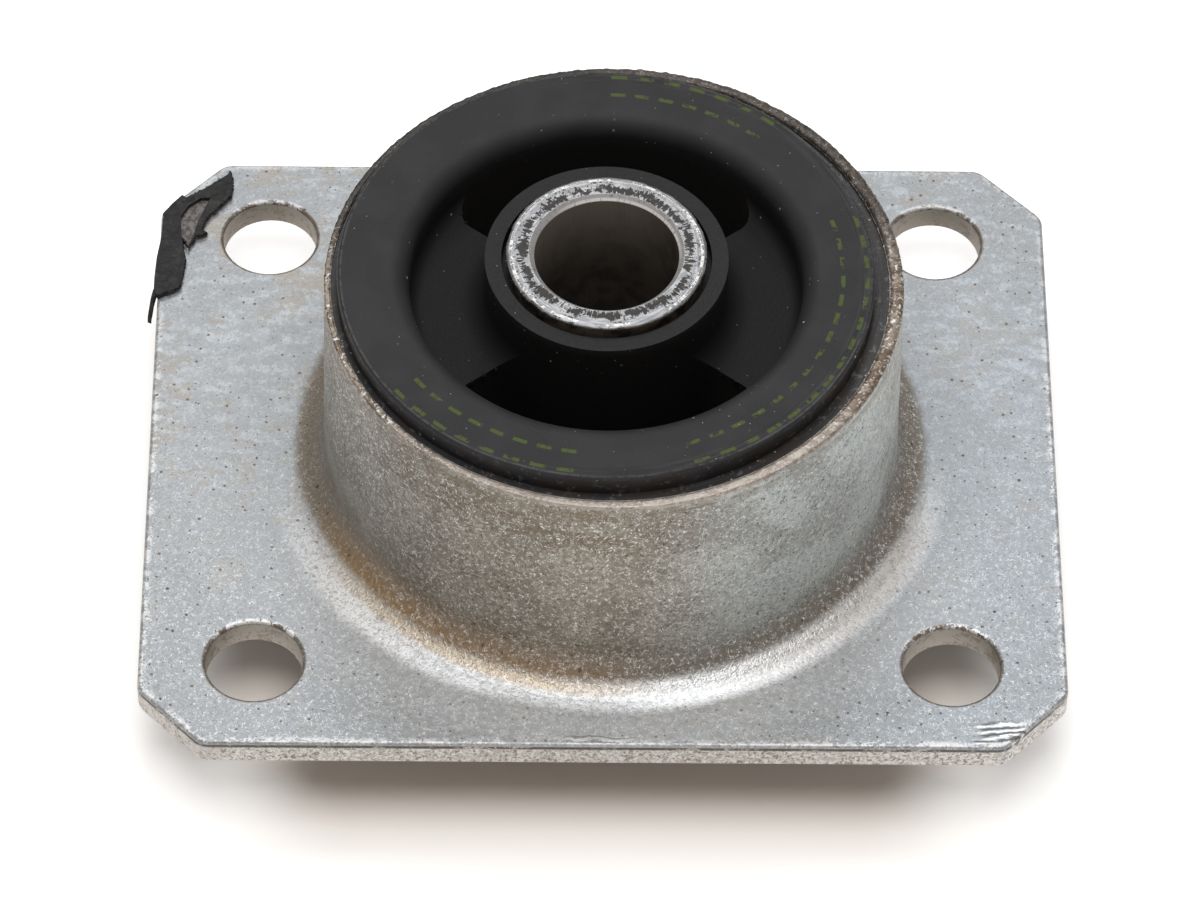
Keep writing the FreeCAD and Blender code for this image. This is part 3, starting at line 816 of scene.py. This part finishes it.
@dataclass(frozen=True)
class FlashRubber:
    """Torn moulding scrap: near-black flake, grey and grainy where only a film is left."""

    tone: Colour = (0.011, 0.011, 0.012)
    edge: Colour = (0.060, 0.059, 0.058)
    film: Colour = (0.225, 0.205, 0.20)
    film_dark: Colour = (0.085, 0.078, 0.076)
    speck: Colour = (0.26, 0.22, 0.17)
    film_top: float = 3.4
    crumbs: Specks = Specks(spacing=1.1, small=0.09, large=0.24, share=0.5)
    roughness: float = 0.6
    specular: float = 0.4
    relief: float = 0.35

    def make(self) -> bpy.types.Material:
        """Build the finish.

        Returns:
            The material.
        """
        m = Shader(Slot.FLASH.value)
        torn = m.mottle(1.2, detail=4.0)
        fine = m.mottle(0.45)
        thin = (m.z - self.film_top).rise(0.25, 0.05) * m.x.rise(-51.5, -50.5)
        crumbs, lot = m.specks(self.crumbs)
        colour = m.layered(
            self.tone,
            # Lighter where the torn lumps rise: painted highlight.
            (torn.rise(0.45, 0.75) * 0.5, self.edge),
            (thin, m.blend(fine.rise(0.40, 0.62), self.film_dark, self.film)),
            (crumbs * (lot * 0.7 + 0.2), self.speck))
        m.set(Base_Color=colour, Roughness=self.roughness + (fine - 0.5) * 0.3,
              Specular_IOR_Level=self.specular)
        m.bump(torn + m.mottle(2.6, detail=1.0) * 1.5, self.relief, 0.9)
        return m.material


@dataclass
class Mount:
    """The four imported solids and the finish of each."""

    zinc: ZincPlating = ZincPlating()
    rubber: MouldedRubber = MouldedRubber()
    steel: SleeveSteel = SleeveSteel()
    flash: FlashRubber = FlashRubber()

    def dress(self) -> dict[Slot, bpy.types.Material]:
        """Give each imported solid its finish.

        Returns:
            The materials by slot, for the small pieces that share them.
        """
        made = {Slot.ZINC: self.zinc.make(), Slot.RUBBER: self.rubber.make(),
                Slot.SLEEVE: self.steel.make(), Slot.FLASH: self.flash.make()}
        for node, slot in (("mounting_flange", Slot.ZINC), ("rubber_body", Slot.RUBBER),
                           ("inner_sleeve", Slot.SLEEVE), ("corner_flash", Slot.FLASH)):
            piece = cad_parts[node]
            piece.data.materials.clear()
            piece.data.materials.append(made[slot])
            LOG.info("%s: %s", node, slot.value)
        return made


def link_mesh(name: str, mesh: bmesh.types.BMesh, material: bpy.types.Material) -> bpy.types.Object:
    """Turn a bmesh in metres into an object of the scene, and free it."""
    data = bpy.data.meshes.new(name)
    mesh.to_mesh(data)
    mesh.free()
    data.materials.append(material)
    made = bpy.data.objects.new(name, data)
    bpy.context.scene.collection.objects.link(made)
    return made


def add_piece(name: str, mesh: bmesh.types.BMesh, material: bpy.types.Material, slot: Slot) -> None:
    """Turn a bmesh in millimetres into a piece that rides with the mount.

    Args:
        name: name of the piece.
        mesh: its bmesh, freed here.
        material: its finish.
        slot: not used.
    """
    bmesh.ops.recalc_face_normals(mesh, faces=mesh.faces)
    bmesh.ops.scale(mesh, vec=(MM, MM, MM), verts=mesh.verts)
    piece = link_mesh(name, mesh, material)
    for polygon in piece.data.polygons:
        polygon.use_smooth = True
    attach(piece, "root")
    LOG.info("%s: %d faces", name, len(piece.data.polygons))


def ring_noise(bearing: float, pace: float, seed: float) -> float:
    """Ragged noise that closes round a ring: its pace round it, and a seed that picks the pattern."""
    return noise.fractal(Vector((math.cos(bearing) * pace, math.sin(bearing) * pace, seed)), 0.9, 2.1, 4)


def spin_profile(mesh: bmesh.types.BMesh, profile: tuple[Pair, ...], steps: int
                 ) -> list[tuple[bmesh.types.BMVert, float, float]]:
    """Spin a closed profile once round the upright axis.

    Args:
        mesh: bmesh that takes the ring.
        profile: corners as distance beyond the spin radius, and height.
        steps: facets of the ring.

    Returns:
        The ring's vertices, each with its bearing and its distance beyond the spin radius.
    """
    corners = [mesh.verts.new((SPIN_RADIUS + across, 0.0, height)) for across, height in profile]
    face = mesh.faces.new(corners)
    edges = list(face.edges)
    bmesh.ops.delete(mesh, geom=[face], context="FACES_ONLY")
    bmesh.ops.spin(mesh, geom=corners + edges, cent=(0, 0, 0), axis=(0, 0, 1), angle=math.tau, steps=steps,
                   use_merge=True)
    return [(vert, math.atan2(vert.co.y, vert.co.x), math.hypot(vert.co.x, vert.co.y) - SPIN_RADIUS)
            for vert in mesh.verts]


@dataclass
class RimBurr:
    """Ragged trimmed edge that stands on the collar's rim."""

    sizes: FlangeSizes = FlangeSizes()
    profile: tuple[Pair, ...] = (
        (0.0, -1.0), (0.0, 0.55), (0.25, 1.0), (0.75, 1.0), (1.0, 0.45), (1.0, -1.0))
    steps: int = 720
    tallest: float = 0.55
    lowest: float = 0.04
    tallest_bearing: float = 40.0
    sunk: float = 0.25
    torn_out: float = 0.10
    torn_up: float = 0.05

    def height(self, bearing: float) -> float:
        """Height of the burr above the rim at a bearing, in millimetres."""
        tilt = 0.5 + 0.5 * math.cos(bearing - math.radians(self.tallest_bearing))
        return self.lowest + self.tallest * tilt ** 1.6 * (0.6 + 0.5 * ring_noise(bearing, 22, 3.1))

    def build(self, material: bpy.types.Material) -> None:
        """Spin a small profile round the rim and tear it.

        Args:
            material: the plating.
        """
        s = self.sizes
        mesh = bmesh.new()
        for vert, bearing, across in spin_profile(mesh, self.profile, self.steps):
            east, north = math.cos(bearing), math.sin(bearing)
            outer = Vector((s.die_offset + s.rim_radius * east, s.rim_radius * north, 0))
            inner = Vector((s.punch_offset + s.throat_radius * east, s.throat_radius * north, 0))
            place = inner.lerp(outer, 0.06 + across * 0.92)
            outward = (outer - inner).normalized()
            rough = noise.fractal(Vector((place.x * 1.4, place.y * 1.4, vert.co.z * 2)), 1.0, 2.0, 3)
            if vert.co.z > 0:
                place += outward * rough * self.torn_out
                place.z = s.rim + self.height(bearing) * vert.co.z + rough * self.torn_up
            else:
                place.z = s.rim - self.sunk
            vert.co = place
        add_piece("rim_burr", mesh, material, Slot.ZINC)


@dataclass
class SleeveBurr:
    """Mushroomed outer edge of the sleeve's worn end."""

    profile: tuple[Pair, ...] = (
        (0.0, 1.0), (0.6, 1.0), (0.9, 0.85), (1.0, 0.5), (0.85, 0.2), (0.45, 0.0), (0.0, 0.0))
    steps: int = 480
    radius: float = 11.0
    top: float = 37.4
    rooted: float = 0.5
    reach: float = 0.26
    thickness: float = 0.5
    sunk: float = 0.01
    droop: float = 0.03

    def build(self, material: bpy.types.Material) -> None:
        """Spin a small rounded lip round the end and fray it.

        Args:
            material: the sleeve's steel.
        """
        mesh = bmesh.new()
        inner = self.radius - self.rooted
        for vert, bearing, across in spin_profile(mesh, self.profile, self.steps):
            ragged = ring_noise(bearing, 9, 7.7)
            outer = self.radius + self.reach * (1.0 + 0.55 * ragged)
            distance = inner + across * (outer - inner)
            below = self.thickness * (1 - vert.co.z) * (1.0 + 0.3 * ragged)
            level = self.top - below - self.sunk - self.droop * across
            vert.co = (distance * math.cos(bearing), distance * math.sin(bearing), level)
        add_piece("sleeve_burr", mesh, material, Slot.SLEEVE)


@dataclass
class TornScraps:
    """Strand and lumps of the corner flash, and nibs of flash on the spokes' edges.

    The strand is a row of middles. A nib is a distance from the axis, a bearing in degrees and a size.
    """

    strand: tuple[Point, ...] = (
        (-52.45, 22.7, 3.85), (-52.6, 22.25, 3.6), (-52.75, 21.8, 3.2), (-52.9, 21.35, 2.7),
        (-53.05, 20.85, 2.0), (-53.15, 20.5, 1.5), (-53.2, 20.3, 1.15), (-53.2, 20.15, 0.9))
    strand_radius: float = 0.34
    strand_taper: float = 0.95
    strand_waver: float = 0.08
    nibs: tuple[Point, ...] = (
        (21.2, 141.0, 1.0), (20.0, 142.6, 0.6), (19.4, 38.4, 0.6), (21.6, 40.2, 0.7),
        (16.4, -38.4, 0.8), (18.3, -37.7, 1.0), (19.6, -37.6, 0.6),
        (15.6, -141.8, 0.8), (17.2, -142.4, 0.9), (18.9, -142.6, 0.7))
    nib_foot: float = 0.42
    nib_tip: float = 0.12
    nib_height: float = 0.8
    nib_rise: float = 0.15
    nib_lean: float = 0.5
    nib_flatness: float = 0.3
    spoke_level: float = 28.2
    flake_corner: Point = (-52.3, 35.65, 3.2)
    flake_outline: tuple[Pair, ...] = (
        (0.1, -13.8), (-0.4, -13.2), (-0.4, -11.0), (-0.25, -8.0), (0.2, -4.5), (0.3, -1.0), (1.3, 0.55),
        (2.4, 1.9), (2.85, 1.5), (3.6, 1.95), (5.1, 3.0), (7.7, 5.2), (7.95, 5.8), (8.2, 5.0), (8.4, 3.4),
        (8.1, 1.9), (6.8, 0.1), (5.4, -1.6), (4.85, -3.6), (5.6, -3.95), (4.25, -4.4), (3.4, -6.3),
        (2.55, -4.5), (3.1, -8.4), (2.75, -11.7), (2.5, -12.6), (1.2, -13.2))
    tatter_pitch: float = 0.55
    tatter_size: float = 0.24

    def build_tatters(self, material: bpy.types.Material) -> None:
        """Small lumps and shreds along the flake's torn outline.

        Args:
            material: the flash's rubber.
        """
        mesh = bmesh.new()
        corner = Vector(self.flake_corner)
        for start, end in zip(self.flake_outline, self.flake_outline[1:] + self.flake_outline[:1]):
            here, along = Vector((*start, 0)), Vector((*end, 0)) - Vector((*start, 0))
            count = max(1, round(along.length / self.tatter_pitch))
            for step in range(count if min(start[0], end[0]) > 0.25 else 0):
                place = here + along * ((step + 0.5) / count)
                lot, other = noise.noise(place * 1.7), noise.noise(place * 3.1 + corner)
                radius = self.tatter_size * (1 + 0.9 * lot)
                made = bmesh.ops.create_icosphere(mesh, subdivisions=1, radius=radius)["verts"]
                stretch = Matrix.Diagonal((1.6 + other, 0.7, 0.8, 1.0))
                turn = Matrix.Rotation(math.atan2(along.y, along.x) + 0.8 * other, 4, "Z")
                lifted = corner + place + Vector((0, 0, 0.5 + 0.35 * other))
                bmesh.ops.transform(mesh, matrix=Matrix.Translation(lifted) @ turn @ stretch, verts=made)
        add_piece("flash_tatters", mesh, material, Slot.FLASH)

    def build_strand(self, material: bpy.types.Material) -> None:
        """Thin tapering strand that hangs from the flake over the plate's edge.

        Args:
            material: the flash's rubber.
        """
        mesh = bmesh.new()
        made = bmesh.ops.create_circle(mesh, segments=10, radius=self.strand_radius, cap_ends=True)
        start, following = Vector(self.strand[0]), Vector(self.strand[1])
        turn = (following - start).to_track_quat("Z", "Y").to_matrix().to_4x4()
        bmesh.ops.transform(mesh, matrix=Matrix.Translation(start) @ turn, verts=made["verts"])
        tip = mesh.faces[:]
        for number, (here, there) in enumerate(zip(self.strand, self.strand[1:])):
            pushed = bmesh.ops.extrude_face_region(mesh, geom=tip)["geom"]
            verts = [item for item in pushed if isinstance(item, bmesh.types.BMVert)]
            bmesh.ops.translate(mesh, vec=Vector(there) - Vector(here), verts=verts)
            squeeze = self.strand_taper + self.strand_waver * math.sin(number * 2.3)
            bmesh.ops.scale(mesh, vec=(squeeze,) * 3, space=Matrix.Translation(-Vector(there)), verts=verts)
            tip = [item for item in pushed if isinstance(item, bmesh.types.BMFace)]
        add_piece("flash_strand", mesh, material, Slot.FLASH)

    def build_nibs(self, material: bpy.types.Material) -> None:
        """Small torn wedges of rubber along the spokes' upper edges.

        Args:
            material: the moulded rubber.
        """
        mesh = bmesh.new()
        for distance, bearing, size in self.nibs:
            made = bmesh.ops.create_cone(mesh, cap_ends=True, segments=6, radius1=self.nib_foot * size,
                                         radius2=self.nib_tip * size, depth=self.nib_height * size)["verts"]
            angle, level = math.radians(bearing), self.spoke_level + self.nib_rise * size
            place = Matrix.Translation((distance * math.cos(angle), distance * math.sin(angle), level))
            lean = Matrix.Rotation(angle, 4, "Z") @ Matrix.Rotation(self.nib_lean, 4, "X")
            flat = Matrix.Diagonal((1.0, self.nib_flatness, 1.0, 1.0))
            bmesh.ops.transform(mesh, matrix=place @ lean @ flat, verts=made)
        add_piece("spoke_nibs", mesh, material, Slot.RUBBER)


@dataclass
class Studio:
    """White ground, soft lamps and the camera at the photograph's angle."""

    floor_level: float = -8.0
    floor_half: float = 3.0
    camera_place: Point = (-9.235, -501.48, 613.90)
    pitch: float = 0.883748535
    yaw: float = 0.017836385
    roll: float = 0.021226316
    focal_pixels: float = 6841.389
    image_width: int = 1200
    sensor: float = 36.0
    sky: Colour = (1.0, 0.87, 0.74)
    sky_strength: float = 0.30
    lamps: tuple[tuple[str, Point, float, float, Colour], ...] = (
        ("top_lamp", (-0.02, -0.05, 0.95), 0.75, 5.2, (0.97, 0.985, 1.0)),
        ("back_lamp", (0.0, 0.70, 0.85), 0.45, 2.6, (0.95, 0.98, 1.0)),
    )
    shadow_side: float = 28.0
    shadow_front: float = 41.0
    shadow_back: float = 26.0
    shadow_fade: float = 15.0
    glow: float = 0.40
    shadow_glow: float = 0.015
    back_glow: float = 0.15
    ground: Colour = (0.93, 0.925, 0.92)
    ground_painted_shadow: Colour = (0.90, 0.835, 0.775)

    def white_ground(self) -> bpy.types.Material:
        """Ground that glows white to the camera and keeps the mount's shadow, with painted shadow under the
        mount: a darker warm colour and less glow there.

        Returns:
            The material.
        """
        m = Shader("white_ground")
        seen = m.node("ShaderNodeLightPath", {}, {}).outputs
        rays = ("Is Camera Ray", "Is Glossy Ray", "Is Transmission Ray")
        direct = reduce(Value.at_least, (Value(m, seen[ray]) for ray in rays))
        beside = m.y.rise(-42.0, -34.0)
        outside = (abs(m.x) - beside * 12.0 - self.shadow_side).at_least(0.0) * (beside * 0.45 + 0.75)
        ahead = (m.y * -1 - self.shadow_front).at_least(0.0)
        apart = (outside * outside + ahead * ahead).maths("SQRT")
        before = (m.y - self.shadow_back).rise(4.0, 0.0)
        shadowed = apart.rise(self.shadow_fade, 0.0) * before
        glow = (1 - shadowed) * self.glow + self.shadow_glow + m.y.rise(28.0, 38.0) * self.back_glow
        # Painted shadow: glow cut a little further out round the mount.
        glow = glow - apart.rise(32.0, 5.0) * before * 0.02
        # Painted shadow: darker warm ground colour under the mount.
        m.set(Base_Color=m.blend(shadowed, self.ground, self.ground_painted_shadow), Roughness=0.9,
              Specular_IOR_Level=0.0, Emission_Strength=1.0,
              Emission_Color=m.blend(direct * glow, BLACK, WHITE))
        m.material.cycles.emission_sampling = "NONE"
        return m.material

    def build_floor(self) -> None:
        """Ground under the mount."""
        mesh = bmesh.new()
        bmesh.ops.create_grid(mesh, x_segments=1, y_segments=1, size=self.floor_half)
        bmesh.ops.translate(mesh, vec=(0, 0, self.floor_level * MM), verts=mesh.verts)
        floor = link_mesh("floor", mesh, self.white_ground())

    def build_light(self) -> None:
        """Soft sky and area lamps."""
        world = bpy.data.worlds.new("studio")
        bpy.context.scene.world = world
        world.use_nodes = True
        tree = world.node_tree
        back = tree.nodes["Background"]
        back.inputs["Color"].default_value = (*self.sky, 1.0)
        back.inputs["Strength"].default_value = self.sky_strength
        white = tree.nodes.new("ShaderNodeBackground")
        white.inputs["Color"].default_value = (1, 1, 1, 1)
        path = tree.nodes.new("ShaderNodeLightPath")
        either = tree.nodes.new("ShaderNodeMixShader")
        tree.links.new(path.outputs["Is Camera Ray"], either.inputs[0])
        tree.links.new(back.outputs[0], either.inputs[1])
        tree.links.new(white.outputs[0], either.inputs[2])
        tree.links.new(either.outputs[0], tree.nodes["World Output"].inputs["Surface"])
        for name, place, size, power, colour in self.lamps:
            lamp = bpy.data.lights.new(name, "AREA")
            lamp.shape = "DISK"
            lamp.size = size
            lamp.energy = power
            lamp.color = colour
            holder = bpy.data.objects.new(name, lamp)
            holder.location = place
            holder.rotation_mode = "QUATERNION"
            holder.rotation_quaternion = (-Vector(place)).to_track_quat("-Z", "Y")
            bpy.context.scene.collection.objects.link(holder)

    def build_camera(self) -> None:
        """Camera solved from the photograph."""
        level = math.cos(self.pitch)
        ahead = Vector((math.sin(self.yaw) * level, math.cos(self.yaw) * level, -math.sin(self.pitch)))
        right = Vector((math.cos(self.yaw), -math.sin(self.yaw), 0))
        up = right.cross(ahead)
        across = right * math.cos(self.roll) + up * math.sin(self.roll)
        upright = up * math.cos(self.roll) - right * math.sin(self.roll)
        data = bpy.data.cameras.new("photo_camera")
        data.sensor_fit = "HORIZONTAL"
        data.sensor_width = self.sensor
        data.lens = self.focal_pixels * self.sensor / self.image_width
        data.clip_start, data.clip_end = 0.01, 20.0
        camera = bpy.data.objects.new("photo_camera", data)
        turn = Matrix((across, upright, -ahead)).transposed().to_4x4()
        camera.matrix_world = Matrix.Translation(Vector(self.camera_place) * MM) @ turn
        bpy.context.scene.collection.objects.link(camera)
        bpy.context.scene.camera = camera

    def build(self) -> None:
        """Floor, light and camera."""
        self.build_floor()
        self.build_light()
        self.build_camera()
        bpy.context.scene.view_settings.view_transform = "Standard"


def main() -> None:
    """Dress the mount, add its scraps and set up the studio."""
    logging.basicConfig(level=logging.INFO, format="%(name)s: %(message)s")
    finishes = Mount().dress()
    RimBurr().build(finishes[Slot.ZINC])
    SleeveBurr().build(finishes[Slot.SLEEVE])
    scraps = TornScraps()
    scraps.build_strand(finishes[Slot.FLASH])
    scraps.build_tatters(finishes[Slot.FLASH])
    scraps.build_nibs(finishes[Slot.RUBBER])
    Studio().build()


if __name__ == "__main__":
    main()
